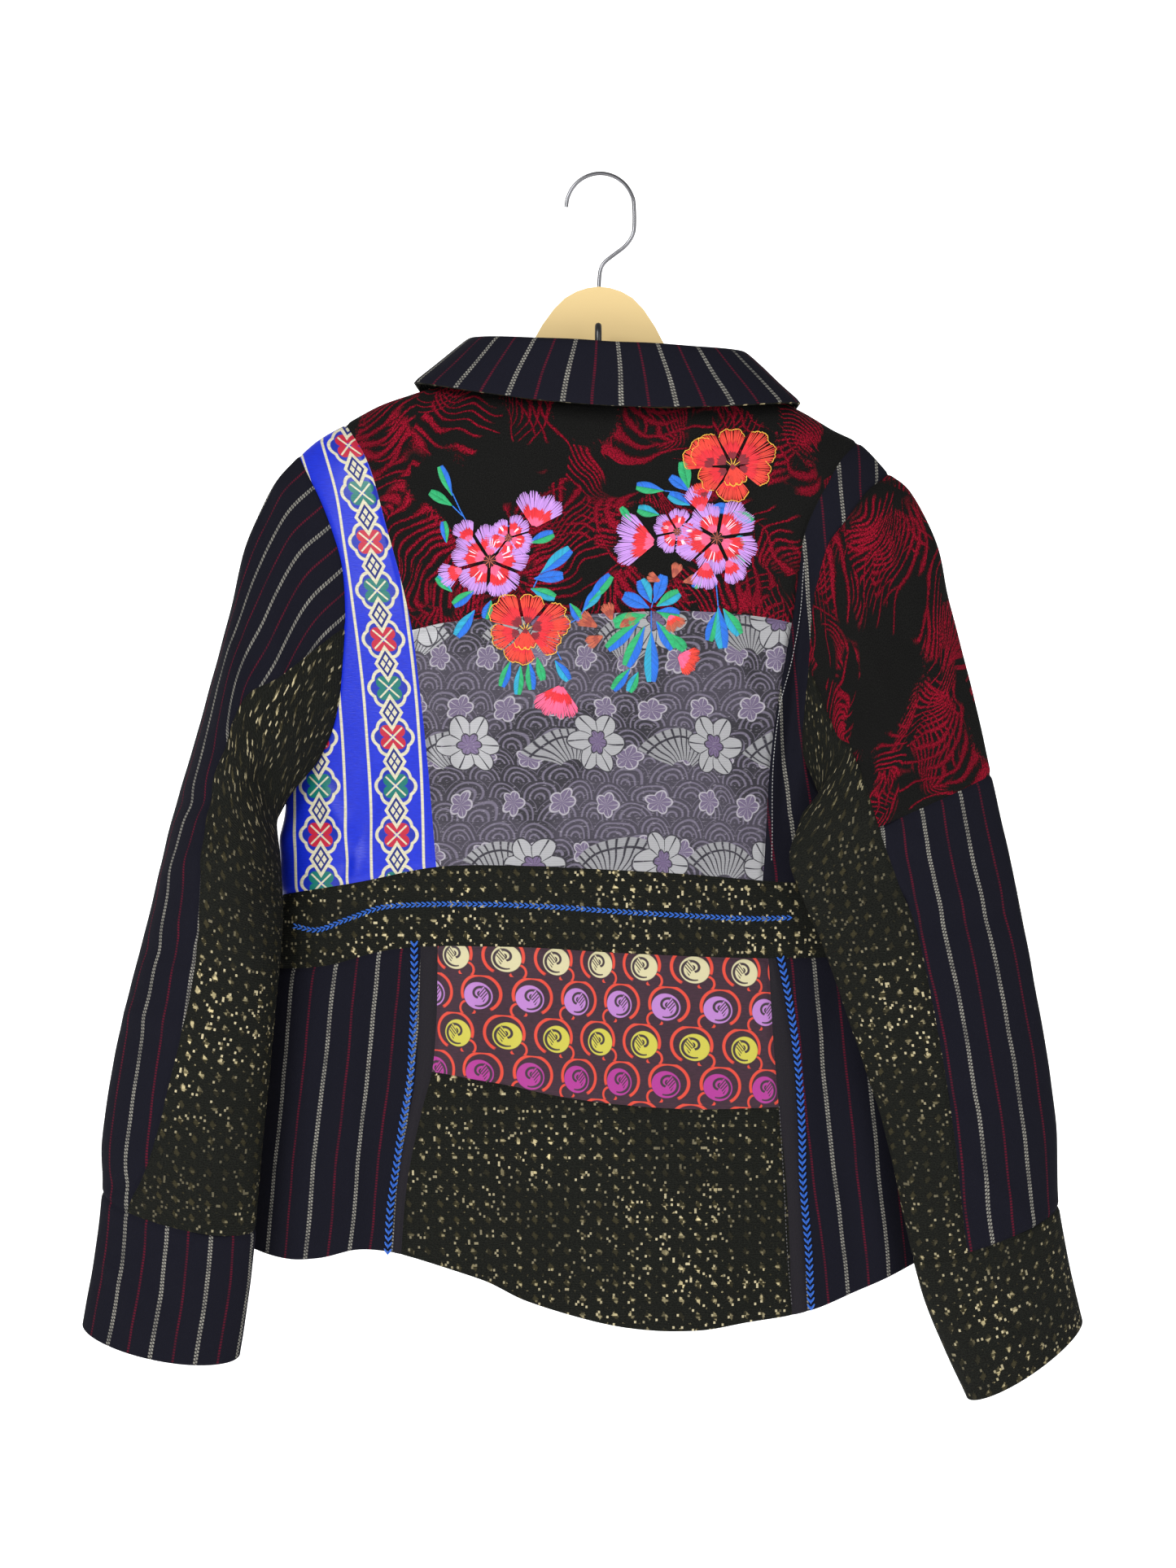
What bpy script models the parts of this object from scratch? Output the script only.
"""Patchwork jacket on a clothes hanger, seen from its back along +Y.

Shapes are worked out in millimetres. X runs to the viewer's right, Z up, and the origin is where
the hook hangs on its rail, so drops below the rail are negative. Cloth is a 2 mm wall.
"""
import math

import bmesh
import bpy
from mathutils import Matrix, Vector

MM = 0.001

# Cloth and seams
CLOTH = 2.0
SEAM_HALF_GAP = 0.2
SETTLE_ROUNDS = 24  # for a point that has to lie on two seams at once
STEP = 0.5  # step of the finite differences that give a surface its normal

# Body: depths from the middle plane, and how the shoulders round over
BACK_DEPTH = 50.0
FRONT_DEPTH = 52.0
SHOULDER_ROUND = 62.0
ARMHOLE_GAP = 0.9
ARMHOLE_HALF_WIDTH, ARMHOLE_CENTRE = 222.0, -320.0

# Hanger
HOOK_RADIUS = 23.4
WIRE_DIAMETER = 2.8
WOOD_THICKNESS = 12.0
WOOD_CLEARANCE = 1.8
BUTTON_PLACE = 14.0
BUTTON_RADIUS = 11.0
BUTTON_THICKNESS = 3.0

# Seams of the body in the view from behind: (x, z) down each line
SHOULDER = [(-214, -200), (-201, -189), (-180, -177), (-156, -164), (-133, -156), (-95, -143),
            (0, -128), (103, -150), (146, -169), (166, -181), (187, -192), (207, -213)]
ARMHOLE_LEFT = [(-214, -200), (-199, -230), (-189, -255), (-182, -281), (-180, -312), (-182, -348),
                (-185, -376), (-192, -400), (-204, -418), (-222, -430)]
ARMHOLE_RIGHT = [(207, -213), (192, -226), (176, -246), (163, -264), (157, -283), (152, -315),
                 (150, -346), (147, -378), (145, -402), (148, -424), (158, -442), (175, -453), (199, -459),
                 (222, -461)]
PRINCESS_LEFT = [(-180, -177), (-165, -202), (-149, -254), (-138, -294), (-131, -326), (-127, -357),
                 (-121, -410), (-114, -492)]
PRINCESS_RIGHT = [(184, -190), (172, -203), (161, -222), (152, -239), (145, -258), (141, -286),
                  (136, -320), (124, -390), (115, -499)]
YOKE_SEAM = [(-131, -325), (-108, -320), (-55, -316), (0, -314), (60, -312), (115, -316), (136, -320)]
BAND_TOP = [(-232, -512), (-170, -502), (-114, -491), (-58, -490), (-10, -492), (62, -496),
            (134, -502), (226, -504)]
BAND_BOTTOM = [(-234, -564), (-194, -561), (-146, -549), (-58, -547), (14, -551), (117, -555),
               (226, -553)]
PATCH_SEAM = [(-117, -634), (-71, -642), (-21, -652), (30, -658), (70, -660), (126, -659)]
HEM = [(-253, -759), (-226, -766), (-199, -766), (-165, -759), (-147, -760), (-112, -769),
       (-78, -780), (-52, -793), (-5, -807), (31, -813), (70, -813), (99, -809), (148, -801),
       (179, -789), (209, -776), (247, -760)]
SKIRT_SEAMS = {
    "left_outer": [(-125, -544), (-126, -583), (-129, -641), (-140, -702), (-145, -768)],
    "left_inner": [(-113, -544), (-114, -600), (-117, -634), (-124, -661), (-134, -710), (-139, -768)],
    "right_inner": [(119, -555), (122, -610), (126, -659), (131, -710), (135, -803)],
    "right_outer": [(124, -555), (130, -583), (136, -622), (139, -671), (144, -759), (146, -803)],
}
# Neck seams, running on along the shoulders on both sides
NECK_BACK = SHOULDER[:5] + [(-106, -147), (-92, -143), (-80, -153), (-62, -160), (0, -166), (66, -168),
                            (90, -162), (104, -151), (118, -156)] + SHOULDER[8:]
NECK_FRONT = SHOULDER[:5] + [(-106, -147), (-92, -143), (-80, -172), (-50, -204), (0, -222), (60, -206),
                             (92, -178), (104, -151), (118, -156)] + SHOULDER[8:]
# Body sections: height, side seam on the left and right, how deep the body is at that height
BODY_ROWS = [  # z, left, right, depth
    (-120, -222, 222, 0.80), (-200, -222, 222, 0.92), (-320, -222, 222, 1.00), (-430, -222, 222, 1.00),
    (-530, -216, 225, 0.94), (-640, -225, 235, 1.02), (-760, -234, 247, 1.10), (-830, -238, 252, 1.12),
]
# Largest folds: a soft ridge or trough along a line on the back or the front of the body
FOLDS = [  # side, x at top, z at top, x at bottom, z at bottom, width, height out
    ("back", 149, -258, 128, -455, 7, -9), ("back", -200, -580, -214, -790, 13, 5),
    ("back", -172, -570, -176, -790, 11, -5), ("back", -60, -560, -62, -690, 12, -3),
    ("back", -88, -560, -92, -680, 9, 3), ("back", 60, -700, 78, -830, 24, 6),
    ("back", 182, -570, 204, -800, 16, 6), ("back", -20, -690, -36, -830, 26, -5),
    ("back", -150, -205, -70, -300, 16, 3), ("back", 100, -205, 40, -300, 18, 3),
    ("front", -150, -560, -165, -790, 18, 5), ("front", 130, -560, 150, -790, 20, 5),
    ("front", 90, -300, 70, -480, 20, -4), ("front", -95, -300, -75, -480, 20, -4),
]

# Sleeve sections from the armhole down, as ellipses seen from behind. The outer and inner ends give
# the outline; y is how far each end hangs behind (-) the middle plane; half is half the thickness;
# sag lowers the near side; under and over are where the seams of the under-sleeve cross the near
# side and the far side, as a share of the way from the outer end to the inner end.
LEFT_SLEEVE = [  # name, outer x, outer z, inner x, inner z, outer y, inner y, half, sag, under, over
    ("bicep", -262, -313, -227, -462, -10, -24, 43, 2, 0.40, 0.58),
    ("upper", -285, -400, -224, -484, -15, -32, 45, 4, 0.27, 0.56),
    ("crook", -301, -456, -222, -511, -20, -36, 46, 4, 0.33, 0.55),
    ("elbow", -314, -514, -222, -545, -26, -40, 42, 3, 0.39, 0.54),
    ("below", -327, -566, -226, -590, -30, -42, 36, 3, 0.43, 0.54),
    ("fore", -341, -628, -231, -647, -33, -43, 31, 4, 0.39, 0.54),
    ("low", -349, -683, -236, -699, -34, -43, 28, 6, 0.32, 0.53),
    ("wrist", -349, -719, -240, -744, -34, -42, 26, 10, 0.18, 0.52),
    ("cuff", -355, -767, -244, -784, -33, -41, 25, 10, 0.17, 0.52),
    ("end", -363, -812, -251, -832, -32, -40, 24, 12, 0.17, 0.52),
]
RIGHT_SLEEVE = [
    ("bicep", 247, -300, 146, -448, -16, -58, 22, 0, 0.72, 0.42),
    ("upper", 262, -362, 136, -466, -24, -65, 16, 2, 0.62, 0.38),
    ("crook", 276, -426, 132, -487, -30, -65, 16, 2, 0.57, 0.36),
    ("elbow", 287, -478, 142, -514, -34, -61, 16, 2, 0.55, 0.40),
    ("below", 297, -528, 155, -545, -38, -61, 17, 2, 0.53, 0.44),
    ("fore", 312, -613, 182, -623, -42, -60, 19, 4, 0.57, 0.48),
    ("low", 320, -671, 200, -681, -42, -58, 20, 6, 0.61, 0.53),
    ("wrist", 322, -728, 218, -762, -41, -54, 22, 8, 0.64, 0.52),
    ("cuff", 330, -771, 232, -806, -40, -52, 22, 9, 0.64, 0.52),
    ("end", 339, -809, 256, -860, -38, -50, 21, 10, 0.64, 0.52),
]
HEAD_SECTIONS = 3  # steps from the armhole to the first section above
HEAD_PUFF = {1: (2, -2, 15), 2: (5, -3, 10)}  # how far out, back and up the sleeve head rounds over
# Where the seam under the arm runs: on the right it leaves the armhole early, as the sleeve folds over
FOLD_LINE = {"left": [(0, 0.5), (12, 0.5)], "right": [(0, 0.35), (3, 0.5), (12, 0.5)]}
SEAMS_AT_ARMHOLE = {"left": (0.53, 0.60), "right": (0.556, 0.45)}  # shares for under and over
SLEEVE_ROWS = ["name", "outer_x", "outer_z", "inner_x", "inner_z", "outer_y", "inner_y", "half", "sag",
               "under", "over"]

UPPER_COLUMNS, UNDER_COLUMNS = 10, 14  # columns of the mesh round each side of a sleeve
SLEEVE_STATIONS = [0, 1, 2, 3] + [3 + 0.5 * n for n in range(1, 19)]  # rows of the mesh down it

# Collar rings above the neck seam: up over the fold and down to the edge of the fall
COLLAR_ROWS = [  # name, half width, back y, front y, z at the side, z at the back, z at the front
    ("stand", 92, -44, 64, -136, -143, -206),
    ("fold_in", 94, -45, 66, -124, -127, -196),
    ("fold", 97, -48, 69, -121, -123, -193),
    ("fold_out", 101, -52, 73, -124, -126, -196),
    ("fall", 120, -57, 82, -140, -148, -216),
    ("edge", 138, -61, 90, -154, -169, -240),
]
COLLAR_OPEN = 12.0  # half the gap between the two collar ends, in degrees
COLLAR_TILT = 0.052  # the wearer's right side hangs lower by this slope
COLLAR_SHIFT = 6.0
NECK_HALF_WIDTH = 98.0
NECK_GAP = 1.3

# Colours: base colour, roughness, metallic
COLOURS = {
    "pinstripe": ((0.022, 0.020, 0.030, 1), 0.9, 0.0),
    "tweed": ((0.040, 0.036, 0.024, 1), 0.8, 0.0),
    "jacquard": ((0.20, 0.006, 0.016, 1), 0.85, 0.0),
    "ribbon": ((0.01, 0.03, 0.55, 1), 0.4, 0.0),
    "silver": ((0.30, 0.27, 0.33, 1), 0.45, 0.0),
    "paisley": ((0.10, 0.03, 0.06, 1), 0.5, 0.0),
    "wood": ((0.70, 0.55, 0.29, 1), 0.6, 0.0),
    "chrome": ((0.75, 0.75, 0.77, 1), 0.15, 1.0),
    "black": ((0.008, 0.008, 0.010, 1), 0.35, 0.0),
}


def clear_scene():
    for old in list(bpy.data.objects):
        bpy.data.objects.remove(old, do_unlink=True)


def curve(table, at, key=0, value=1):
    """The value of a smooth line through the table's rows, where the key column is `at`."""
    rows = table if table[0][key] < table[-1][key] else table[::-1]
    at = min(max(at, rows[0][key]), rows[-1][key])
    i = 0
    while i < len(rows) - 2 and rows[i + 1][key] < at:
        i += 1
    x0, x1 = rows[i][key], rows[i + 1][key]
    y0, y1 = rows[i][value], rows[i + 1][value]
    slope = (y1 - y0) / (x1 - x0)

    def tangent(j):
        if j <= 0 or j >= len(rows) - 1:
            return slope
        before = (rows[j][value] - rows[j - 1][value]) / (rows[j][key] - rows[j - 1][key])
        after = (rows[j + 1][value] - rows[j][value]) / (rows[j + 1][key] - rows[j][key])
        return 0.5 * (before + after)

    h = x1 - x0
    t = (at - x0) / h
    return ((2 * t ** 3 - 3 * t ** 2 + 1) * y0 + (t ** 3 - 2 * t ** 2 + t) * h * tangent(i)
            + (3 * t ** 2 - 2 * t ** 3) * y1 + (t ** 3 - t ** 2) * h * tangent(i + 1))


def down(table):
    """A seam that runs down the body: x for a height z."""
    return lambda z: curve(table, z, key=1, value=0)


def across(table):
    """A seam that runs across the body: z for a place x."""
    return lambda x: curve(table, x)


def left_side(z):
    return curve(BODY_ROWS, z, value=1)


def right_side(z):
    return curve(BODY_ROWS, z, value=2)


def fold_height(side, x, z):
    total = 0.0
    for where, x0, z0, x1, z1, width, height in FOLDS:
        if where != side:
            continue
        along = (z - z0) / (z1 - z0)
        if not -0.3 < along < 1.3:
            continue
        middle = x0 + (x1 - x0) * along
        fade = math.sin(math.pi * min(max((along + 0.15) / 1.3, 0.0), 1.0)) if z1 > -700 else min(
            max((along + 0.15) * 1.4, 0.0), 1.0)
        total += height * fade * math.exp(-(((x - middle) / width) ** 2))
    return total


def body_point(side, x, z):
    """The outer surface of the body at a place in the view."""
    left, right = left_side(z), right_side(z)
    middle, half = (left + right) / 2, (right - left) / 2
    share = min(max((x - middle) / half, -1.0), 1.0)
    drop = min(max((curve(SHOULDER, x) - z) / SHOULDER_ROUND, 0.0), 1.0)
    dome = math.sqrt(max(1 - (1 - drop) ** 2, 0.0))
    depth = (BACK_DEPTH if side == "back" else FRONT_DEPTH) * curve(BODY_ROWS, z, value=3)
    swell = math.sqrt(max(1 - share * share, 0.0))
    out = (depth * swell + fold_height(side, x, z) * min(swell * 2, 1.0)) * dome
    return Vector((x, -out if side == "back" else out, z))


def body_normal(side, x, z):
    """The direction out of the cloth, level at the side seams and upright along the shoulder."""
    slope_x = (body_point(side, x + STEP, z).y - body_point(side, x - STEP, z).y) / (2 * STEP)
    slope_z = (body_point(side, x, z + STEP).y - body_point(side, x, z - STEP).y) / (2 * STEP)
    normal = Vector((slope_x, -1, slope_z)) if side == "back" else Vector((-slope_x, 1, -slope_z))
    left, right = left_side(z), right_side(z)
    at_side = min(x - left, right - x) < 0.6
    at_ridge = curve(SHOULDER, x) - z < 0.3
    if at_side or at_ridge:
        normal.y = 0.0
    if at_side:
        normal = Vector((1 if x > 0 else -1, 0, 0.3 * normal.normalized().z))
    return normal.normalized()


def panel_surface(side, left, right, top, bottom):
    """A panel between two seams that run down and two that run across; s and v run 0 to 1."""
    def place(s, v):
        z = -400.0
        x = left(z) + (right(z) - left(z)) * s
        for _ in range(SETTLE_ROUNDS):
            x = 0.5 * x + 0.5 * (left(z) + (right(z) - left(z)) * s)
            z = top(x) + (bottom(x) - top(x)) * v
            z = min(max(z, -900.0), -100.0)
        return x, z
    return lambda s, v: body_point(side, *place(s, v)), lambda s, v: body_normal(side, *place(s, v))


def grid_wall(point, normal, columns, rows, thickness=CLOTH, closed=False):
    """Outer points from point(s, v) at the given columns and rows, and inner ones a cloth's width in."""
    count_s, count_v = len(columns), len(rows)
    outer = [[point(s, v) for v in rows] for s in columns]
    normals = [[normal(s, v) for v in rows] for s in columns]
    last_s = count_s - 1

    inset = [[p.copy() for p in line] for line in outer]
    for i in range(count_s):
        for j in range(count_v):
            if not closed and i in (0, last_s):
                toward = outer[1 if i == 0 else last_s - 1][j] - outer[i][j]
                inset[i][j] += toward.normalized() * SEAM_HALF_GAP
            if j in (0, count_v - 1):
                toward = outer[i][1 if j == 0 else count_v - 2] - outer[i][j]
                inset[i][j] += toward.normalized() * SEAM_HALF_GAP
    verts = [p for line in inset for p in line]
    verts += [inset[i][j] - normals[i][j] * thickness for i in range(count_s) for j in range(count_v)]
    total = count_s * count_v
    faces = []

    def at(i, j, layer):
        return (i % count_s) * count_v + j + layer * total

    for i in range(count_s if closed else last_s):
        for j in range(count_v - 1):
            faces.append((at(i, j, 0), at(i + 1, j, 0), at(i + 1, j + 1, 0), at(i, j + 1, 0)))
            faces.append((at(i, j + 1, 1), at(i + 1, j + 1, 1), at(i + 1, j, 1), at(i, j, 1)))
        for j in (0, count_v - 1):
            faces.append((at(i, j, 0), at(i, j, 1), at(i + 1, j, 1), at(i + 1, j, 0)))
    if not closed:
        for i in (0, last_s):
            for j in range(count_v - 1):
                faces.append((at(i, j, 0), at(i, j + 1, 0), at(i, j + 1, 1), at(i, j, 1)))
    return verts, faces


def material(name):
    if name in bpy.data.materials:
        return bpy.data.materials[name]
    colour, rough, metal = COLOURS[name]
    made = bpy.data.materials.new(name)
    made.use_nodes = True
    shader = made.node_tree.nodes["Principled BSDF"]
    shader.inputs["Base Color"].default_value = colour
    shader.inputs["Roughness"].default_value = rough
    shader.inputs["Metallic"].default_value = metal
    return made


def add_object(name, verts, faces, finish):
    mesh = bpy.data.meshes.new(name)
    mesh.from_pydata([tuple(v * MM) for v in verts], [], faces)
    shape = bmesh.new()
    shape.from_mesh(mesh)
    bmesh.ops.recalc_face_normals(shape, faces=shape.faces)
    if shape.calc_volume(signed=True) < 0:
        bmesh.ops.reverse_faces(shape, faces=shape.faces)
    bmesh.ops.triangulate(shape, faces=shape.faces)
    shape.to_mesh(mesh)
    shape.free()
    mesh.shade_smooth()
    mesh.set_sharp_from_angle(angle=math.radians(40))
    mesh.materials.append(material(finish))
    made = bpy.data.objects.new(name, mesh)
    bpy.context.scene.collection.objects.link(made)
    return made


def even(count):
    return [i / count for i in range(count + 1)]


def crowded_at_top(count, share=0.16):
    """Even rows, with three extra ones where the shoulder rounds over."""
    return [0.0, share * 0.06, share * 0.25, share * 0.58] + [share + (1 - share) * t for t in even(count)]


def add_body_panel(name, finish, side, left, right, top, bottom, columns, rows):
    point, normal = panel_surface(side, left, right, top, bottom)
    verts, faces = grid_wall(point, normal, columns, rows)
    return add_object(name, verts, faces, finish)


def matched_rows(long_top, long_bottom, seam, pieces):
    """Rows for a long panel that meet, along one seam, the rows of the shorter panels beside it."""
    found = []
    for top, bottom, rows in pieces:
        for v in rows:
            x = seam(-400.0)
            for _ in range(SETTLE_ROUNDS):
                z = top(x) + (bottom(x) - top(x)) * v
                x = 0.5 * x + 0.5 * seam(z)
            x = seam(z)
            share = (z - long_top(x)) / (long_bottom(x) - long_top(x))
            if not found or share > found[-1] + 0.002:
                found.append(share)
    found[0], found[-1] = 0.0, 1.0
    return found


def join_lines(upper, lower):
    """One line down the body: the upper seam, then the lower one below its last row."""
    end = upper[-1][1]
    first, second = down(upper), lower
    return lambda z: first(z) if z > end else second(z)


def make_back():
    shoulder = across(SHOULDER)
    band_top, band_bottom, hem = across(BAND_TOP), across(BAND_BOTTOM), across(HEM)
    yoke, patch = across(YOKE_SEAM), across(PATCH_SEAM)
    left_edge = join_lines(ARMHOLE_LEFT, left_side)
    right_edge = join_lines(ARMHOLE_RIGHT, right_side)
    princess_left, princess_right = down(PRINCESS_LEFT), down(PRINCESS_RIGHT)
    seams = {name: down(table) for name, table in SKIRT_SEAMS.items()}
    neck = across(NECK_BACK)
    yoke_rows, centre_rows = crowded_at_top(7, 0.3), even(12)
    patch_rows, tail_rows = even(4), even(7)
    upper = [(neck, yoke, yoke_rows), (yoke, band_top, centre_rows)]
    lower = [(band_bottom, patch, patch_rows), (patch, hem, tail_rows)]
    left_rows = matched_rows(shoulder, band_top, princess_left, upper)
    right_rows = matched_rows(shoulder, band_top, princess_right, upper)
    skirt_left_rows = matched_rows(band_bottom, hem, seams["left_inner"], lower)
    skirt_right_rows = matched_rows(band_bottom, hem, seams["right_inner"], lower)
    panels = [  # name, finish, left, right, top, bottom, columns, rows
        ("back_side_left", "ribbon", left_edge, princess_left, shoulder, band_top, even(5), left_rows),
        ("back_yoke", "jacquard", princess_left, princess_right, neck, yoke, even(20), yoke_rows),
        ("back_centre", "silver", princess_left, princess_right, yoke, band_top, even(15), centre_rows),
        ("back_side_right", "pinstripe", princess_right, right_edge, shoulder, band_top, even(6), right_rows),
        ("waistband", "tweed", left_side, right_side, band_top, band_bottom, even(24), even(3)),
        ("skirt_left", "pinstripe", left_side, seams["left_outer"], band_bottom, hem, even(8),
         skirt_left_rows),
        ("strip_left", "black", seams["left_outer"], seams["left_inner"], band_bottom, hem, even(1),
         skirt_left_rows),
        ("skirt_patch", "paisley", seams["left_inner"], seams["right_inner"], band_bottom, patch,
         even(16), patch_rows),
        ("skirt_centre", "tweed", seams["left_inner"], seams["right_inner"], patch, hem, even(16),
         tail_rows),
        ("strip_right", "black", seams["right_inner"], seams["right_outer"], band_bottom, hem, even(1),
         skirt_right_rows),
        ("skirt_right", "pinstripe", seams["right_outer"], right_side, band_bottom, hem, even(8),
         skirt_right_rows),
    ]
    for name, finish, left, right, top, bottom, columns, rows in panels:
        add_body_panel(name, finish, "back", left, right, top, bottom, columns, rows)


def make_fronts():
    left_edge = join_lines(ARMHOLE_LEFT, left_side)
    right_edge = join_lines(ARMHOLE_RIGHT, right_side)
    hem = across([(x, z + 9) for x, z in HEM])
    neck = across(NECK_FRONT)
    rows = crowded_at_top(22, 0.1)
    add_body_panel("front_left", "pinstripe", "front", left_edge, lambda z: -2.0, neck, hem,
                   even(10), rows)
    add_body_panel("front_right", "pinstripe", "front", lambda z: -1.0, right_edge, neck, hem,
                   even(10), rows)
    for number in range(5):
        z = -262.0 - 104.0 * number
        seat = body_point("front", BUTTON_PLACE, z)
        edges = ((BUTTON_RADIUS, 0), (-BUTTON_RADIUS, 0), (0, BUTTON_RADIUS), (0, -BUTTON_RADIUS))
        rim = [body_point("front", BUTTON_PLACE + dx, z + dz) for dx, dz in edges]
        seat.y = max([seat.y] + [p.y for p in rim]) + 0.4
        add_button("button_%d" % (number + 1), seat)


def add_button(name, seat):
    shape = bmesh.new()
    turned = bmesh.ops.create_cone(shape, cap_ends=True, segments=20, radius1=BUTTON_RADIUS,
                                   radius2=BUTTON_RADIUS * 0.9, depth=BUTTON_THICKNESS)
    bmesh.ops.rotate(shape, verts=turned["verts"], matrix=Matrix.Rotation(math.radians(-90.0), 3, "X"))
    bmesh.ops.translate(shape, verts=turned["verts"], vec=seat + Vector((0, BUTTON_THICKNESS / 2, 0)))
    verts = [v.co.copy() for v in shape.verts]
    faces = [tuple(v.index for v in f.verts) for f in shape.faces]
    shape.free()
    add_object(name, verts, faces, "black")


def armhole_loop(side, t):
    """The armhole's edge: t is 0 at the shoulder, 0.25 on the back, 0.5 under the arm."""
    table = ARMHOLE_LEFT if side == "left" else ARMHOLE_RIGHT
    near = t <= 0.5
    share = (1 - math.cos(2 * math.pi * t)) / 2
    z = table[0][1] + (table[-1][1] - table[0][1]) * share
    x = curve(table, z, key=1, value=0)
    return body_point("back" if near else "front", x, z)


def sleeve_row(row, t):
    """A point of one sleeve section."""
    share = (1 - math.cos(2 * math.pi * t)) / 2
    around = math.sin(2 * math.pi * t)
    half = row["half"] * (1.0 if abs(around) < 1e-9 else abs(around) ** 0.15)
    return Vector((row["outer_x"] + (row["inner_x"] - row["outer_x"]) * share,
                   row["outer_y"] + (row["inner_y"] - row["outer_y"]) * share - half * around,
                   row["outer_z"] + (row["inner_z"] - row["outer_z"]) * share - row["sag"] * around))


def sleeve_surface(side):
    """The sleeve's outer surface: k counts sections down from the armhole, t goes round."""
    table = LEFT_SLEEVE if side == "left" else RIGHT_SLEEVE
    rows = [dict(zip(SLEEVE_ROWS, row)) for row in table]
    away = Vector((-1, 0, 0)) if side == "left" else Vector((1, 0, 0))

    def ring(k, t):
        if k <= 0:
            edge = armhole_loop(side, t)
            inward = Vector((away.x * ARMHOLE_HALF_WIDTH - edge.x, 0, ARMHOLE_CENTRE - edge.z)).normalized()
            lower = ((1 - math.cos(2 * math.pi * t)) / 2) ** 2
            return edge + (away + inward * (1 + 2.5 * lower)) * ARMHOLE_GAP
        if k < HEAD_SECTIONS:
            out, back, up = HEAD_PUFF[k]
            crown = max(math.cos(2 * math.pi * t), 0.0) ** 2
            between = ring(0, t).lerp(sleeve_row(rows[0], t), k / HEAD_SECTIONS)
            return between + crown * Vector((away.x * out, back, up))
        return sleeve_row(rows[k - HEAD_SECTIONS], t)

    def point(t, k):
        t = t % 1.0
        last = len(rows) - 1 + HEAD_SECTIONS
        k = min(max(k, 0.0), last)
        i = min(int(k), last - 1)
        f = k - i
        p1, p2 = ring(i, t), ring(i + 1, t)
        p0 = ring(i - 1, t) if i > 0 else p1 * 2 - p2
        p3 = ring(i + 2, t) if i + 2 <= last else p2 * 2 - p1
        p = 0.5 * (2 * p1 + (p2 - p0) * f + (2 * p0 - 5 * p1 + 4 * p2 - p3) * f * f
                   + (3 * p1 - p0 - 3 * p2 + p3) * f ** 3)
        return p

    def seam(which, k):
        """t of a seam at section k; the over seam lies on the far side."""
        start = dict(rows[0], under=SEAMS_AT_ARMHOLE[side][0], over=SEAMS_AT_ARMHOLE[side][1])
        marks = []
        for n, row in [(0, start)] + [(i + HEAD_SECTIONS, row) for i, row in enumerate(rows)]:
            t = math.acos(1 - 2 * row[which]) / (2 * math.pi)
            marks.append((n, t if which == "under" else 1 - t))
        return curve(marks, k)

    def centre(k):
        return (point(0.0, k) + point(0.25, k) + point(0.5, k) + point(0.75, k)) / 4
    return point, seam, centre


def add_sleeve_panel(name, finish, side, part, first, last, columns):
    """part is upper, near or far (the under-sleeve's two sides), or whole (a cuff)."""
    point, seam, centre = sleeve_surface(side)

    def place(s, v):
        k = first + (last - first) * v
        under, over = seam("under", k), seam("over", k)
        fold = curve(FOLD_LINE[side], k)
        if part == "near":
            return under + (fold - under) * s, k
        if part == "far":
            return fold + (over - fold) * s, k
        if part == "upper":  # half the columns lie on each side of the shoulder point
            return ((over - 1) * (1 - 2 * s) if s < 0.5 else under * (2 * s - 1)), k
        return under + s, k

    def surface(s, v):
        t, k = place(s, v)
        return point(t, k)

    def across_cloth(t, k):
        round_way = point(t + 0.012, k) - point(t - 0.012, k)
        along = point(t, min(k + 0.15, 12.0)) - point(t, max(k - 0.15, 0.0))
        return round_way.cross(along).normalized()

    outward = 1.0 if across_cloth(0.25, 9.0).dot(point(0.25, 9.0) - centre(9.0)) > 0 else -1.0

    def normal(s, v):
        return across_cloth(*place(s, v)) * outward

    closed = part == "whole"
    if closed:
        under, over = seam("under", first), seam("over", first)
        bend = over - under
        stations = [bend * i / UNDER_COLUMNS for i in range(UNDER_COLUMNS)]
        half = UPPER_COLUMNS // 2
        stations += [bend + (1 - over) * i / half for i in range(half)]
        stations += [1 - under + under * i / half for i in range(half)]
    else:
        stations = even(columns)
    down_the_arm = [(k - first) / (last - first) for k in SLEEVE_STATIONS if first <= k <= last]
    verts, faces = grid_wall(surface, normal, stations, down_the_arm, closed=closed)
    return add_object(name, verts, faces, finish)


def make_sleeves():
    panels = [  # name, finish, side, part, first section, last section, columns
        ("sleeve_left_upper", "pinstripe", "left", "upper", 0, 10, UPPER_COLUMNS),
        ("sleeve_left_under", "tweed", "left", "near", 0, 10, UNDER_COLUMNS // 2),
        ("sleeve_left_far", "tweed", "left", "far", 2, 10, UNDER_COLUMNS // 2),
        ("cuff_left", "pinstripe", "left", "whole", 10, 12, 0),
        ("sleeve_right_upper", "jacquard", "right", "upper", 0, 5, UPPER_COLUMNS),
        ("sleeve_right_lower", "pinstripe", "right", "upper", 5, 10, UPPER_COLUMNS),
        ("sleeve_right_under", "tweed", "right", "near", 0, 10, UNDER_COLUMNS // 2),
        ("sleeve_right_far", "tweed", "right", "far", 4, 10, UNDER_COLUMNS // 2),
        ("cuff_right", "tweed", "right", "whole", 10, 12, 0),
    ]
    for row in panels:
        add_sleeve_panel(*row)


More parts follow.
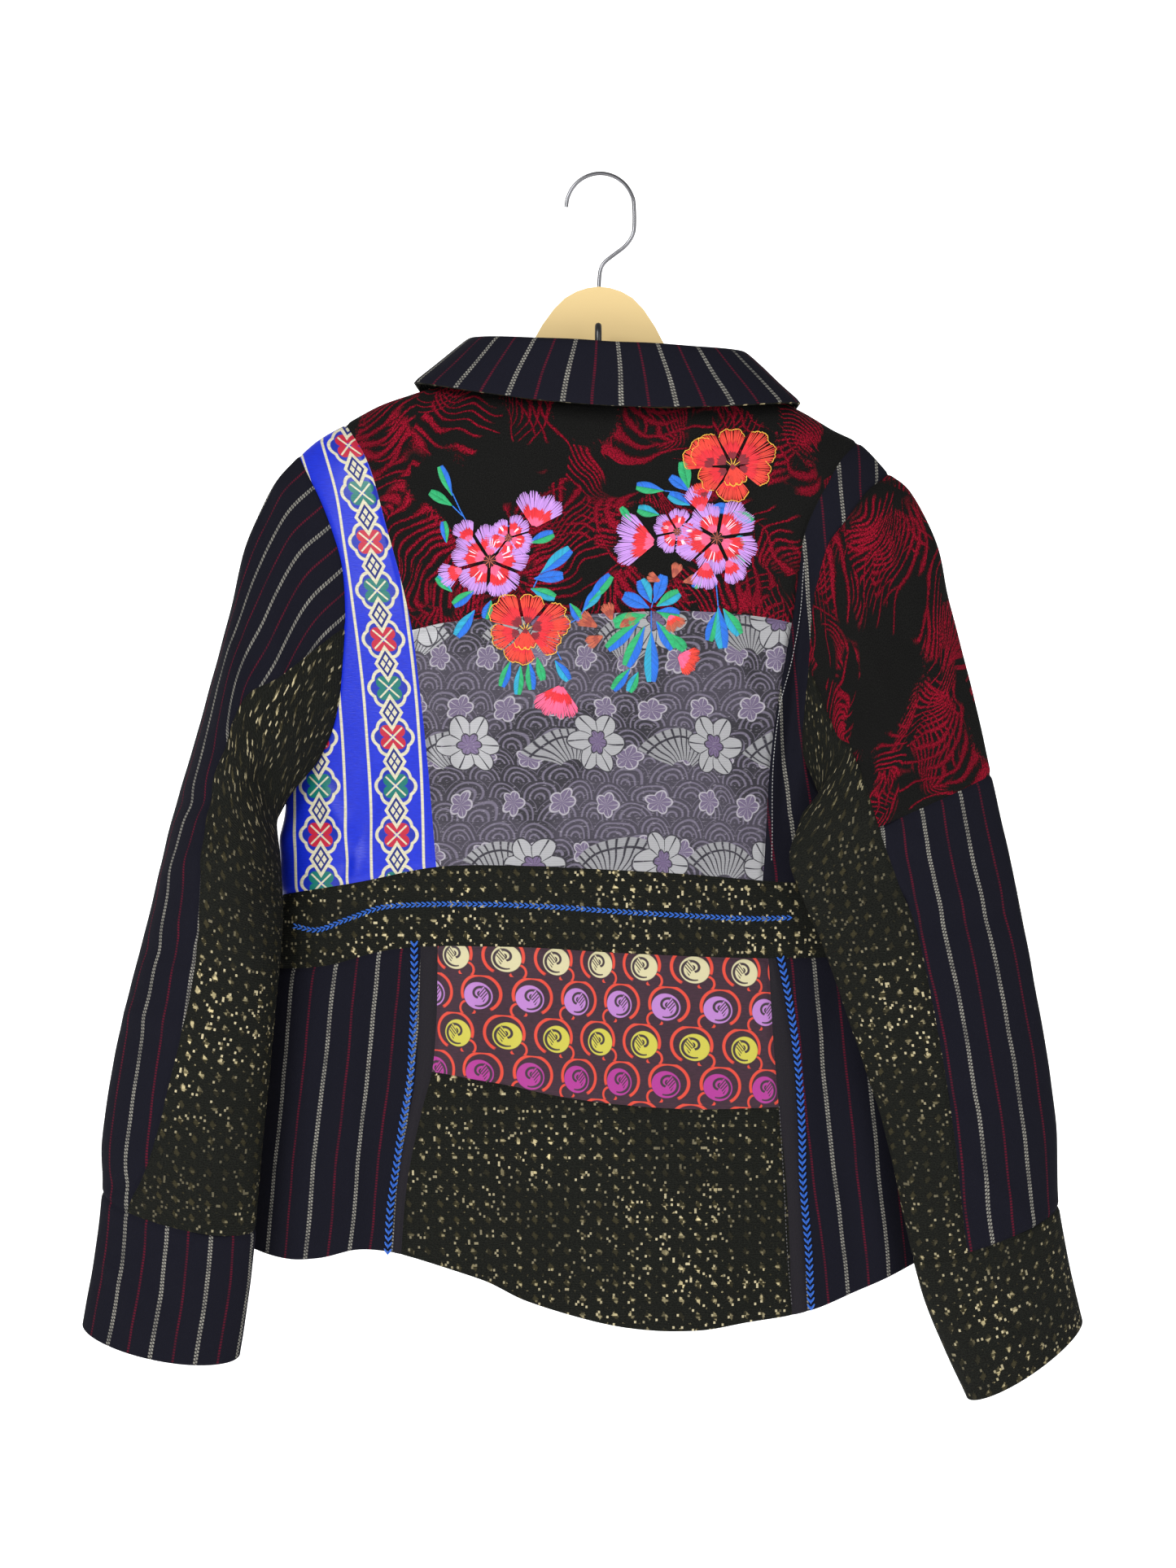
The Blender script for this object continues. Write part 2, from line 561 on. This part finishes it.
def collar_point(t, ring):
    """t goes round from one collar end to the other by way of the back; ring counts the rows."""
    def row(k):
        angle = math.radians(COLLAR_OPEN) + t * (2 * math.pi - 2 * math.radians(COLLAR_OPEN))
        across_share, along_share = math.sin(angle), math.cos(angle)
        if k == 0:
            side, table = ("front", NECK_FRONT) if along_share > 0 else ("back", NECK_BACK)
            x = COLLAR_SHIFT - NECK_HALF_WIDTH * across_share
            z = curve(table, x)
            return body_point(side, x, z) + Vector((0.5 * across_share, 0, NECK_GAP))
        _, half, back, front, z_side, z_back, z_front = COLLAR_ROWS[k - 1]
        x = COLLAR_SHIFT - half * across_share
        y = (front if along_share > 0 else -back) * along_share
        rise = along_share * along_share
        z = z_side + ((z_front if along_share > 0 else z_back) - z_side) * rise
        return Vector((x, y, z - COLLAR_TILT * x))
    i = min(int(ring), len(COLLAR_ROWS) - 1)
    return row(i).lerp(row(i + 1), ring - i)


def make_collar():
    columns = even(34)

    def collar_normal(t, ring):
        t = min(max(t, 0.001), 0.999)
        round_way = collar_point(t + 0.001, ring) - collar_point(t - 0.001, ring)
        up = collar_point(t, min(ring + 0.2, 6.0)) - collar_point(t, max(ring - 0.2, 0.0))
        return round_way.cross(up).normalized()

    for name, start, stop, rows in (("collar_stand", 0.0, 2.0, 3), ("collar_fall", 2.15, 6.0, 6)):
        verts, faces = grid_wall(lambda s, v: collar_point(s, start + (stop - start) * v),
                                 lambda s, v: collar_normal(s, start + (stop - start) * v),
                                 columns, even(rows), thickness=1.6)
        add_object(name, verts, faces, "pinstripe")


def tube(name, points, radius, sides, finish):
    """A round rod along the points, with flat ends."""
    verts, faces = [], []
    side_way = Vector((0, 1, 0))
    for i, p in enumerate(points):
        along = (points[min(i + 1, len(points) - 1)] - points[max(i - 1, 0)]).normalized()
        first = side_way.cross(along).normalized() if abs(along.dot(side_way)) < 0.95 else Vector((1, 0, 0))
        second = along.cross(first).normalized()
        for n in range(sides):
            angle = 2 * math.pi * n / sides
            verts.append(p + (first * math.cos(angle) + second * math.sin(angle)) * radius)
    for i in range(len(points) - 1):
        for n in range(sides):
            m = (n + 1) % sides
            faces.append((i * sides + n, i * sides + m, (i + 1) * sides + m, (i + 1) * sides + n))
    faces.append(tuple(range(sides))[::-1])
    faces.append(tuple((len(points) - 1) * sides + n for n in range(sides)))
    return add_object(name, verts, faces, finish)


def hook_path():
    """The wire: a round hook open on the left, then a slanted shank down to the wood."""
    radius = HOOK_RADIUS + WIRE_DIAMETER / 2
    centre = Vector((1, 0, -HOOK_RADIUS))
    points = []
    for n in range(19):
        angle = math.radians(178 - 178 * n / 18)
        points.append(centre + Vector((math.cos(angle) * (radius - 0.6), 0, math.sin(angle) * radius)))
    points += [Vector((25.4, 0, -33)), Vector((24.6, 0, -42)), Vector((20, 0, -49)), Vector((10, 0, -57)),
               Vector((4, 0, -62)), Vector((1, 0, -68)), Vector((0, 0, -79.5))]
    return points


def hanger_top(x):
    """Height of the wood's upper edge: a round dome, then arms just under the shoulders."""
    dome = curve([(-60, -150), (-48, -121), (-36, -101), (-24, -88), (-12, -82), (0, -79.9), (12, -82),
                  (24, -88), (36, -102), (48, -124), (60, -152)], x)
    half_thick = WOOD_THICKNESS / 2
    depth = BACK_DEPTH * 0.88 * math.sqrt(max(1 - (x / 222) ** 2, 0.01)) - CLOTH
    lost = SHOULDER_ROUND * (1 - math.sqrt(1 - min(half_thick / depth, 0.9) ** 2))
    arm = curve(SHOULDER, x) - CLOTH - WOOD_CLEARANCE - lost
    if abs(x) < 60:
        return max(dome, arm - 30)
    return min(arm, -150 - (abs(x) - 60) * 0.18 - (4 if x > 0 else 0))


def make_hanger():
    tube("hanger_hook", hook_path(), WIRE_DIAMETER / 2, 10, "chrome")
    stations = [-192 + 8 * n for n in range(48)]
    top = [Vector((x, 0, hanger_top(x))) for x in stations]
    bottom = [Vector((x, 0, -196 - 14 * (abs(x) / 190) ** 1.6 if abs(x) > 70 else
                      -186 - 10 * (abs(x) / 70) ** 2)) for x in stations]
    bottom = [Vector((b.x, 0, min(b.z, t.z - 16))) for b, t in zip(bottom, top)]
    outline = top + bottom[::-1]
    half = Vector((0, WOOD_THICKNESS / 2, 0))
    verts = [p - half for p in outline] + [p + half for p in outline]
    count = len(outline)
    faces = [tuple(range(count)), tuple(range(2 * count - 1, count - 1, -1))]
    faces += [(i, i + count, (i + 1) % count + count, (i + 1) % count) for i in range(count)]
    add_object("hanger_wood", verts, faces, "wood")


def make_hang_loop():
    """A narrow loop of black cord, seen edge on, sewn inside the collar stand."""
    points = [Vector((-0.5, -38.6, -146)), Vector((-0.5, -38.6, -122)), Vector((-0.5, -38.6, -116)),
              Vector((-0.5, -36.6, -112.6)), Vector((-0.5, -33.1, -111.2)), Vector((-0.5, -29.6, -112.6)),
              Vector((-0.5, -28.1, -116)), Vector((-0.5, -28.1, -122)), Vector((-0.5, -28.1, -146))]
    verts, faces = [], []
    sides = 8
    for i, p in enumerate(points):
        along = (points[min(i + 1, 8)] - points[max(i - 1, 0)]).normalized()
        second = along.cross(Vector((1, 0, 0))).normalized()
        for n in range(sides):
            angle = 2 * math.pi * n / sides
            verts.append(p + (Vector((1, 0, 0)) * math.cos(angle) + second * math.sin(angle)) * 2.5)
    for i in range(8):
        for n in range(sides):
            m = (n + 1) % sides
            faces.append((i * sides + n, i * sides + m, (i + 1) * sides + m, (i + 1) * sides + n))
    faces.append(tuple(range(sides))[::-1])
    faces.append(tuple(8 * sides + n for n in range(sides)))
    add_object("hang_loop", verts, faces, "black")


clear_scene()
make_back()
make_fronts()
make_sleeves()
make_collar()
make_hanger()
make_hang_loop()
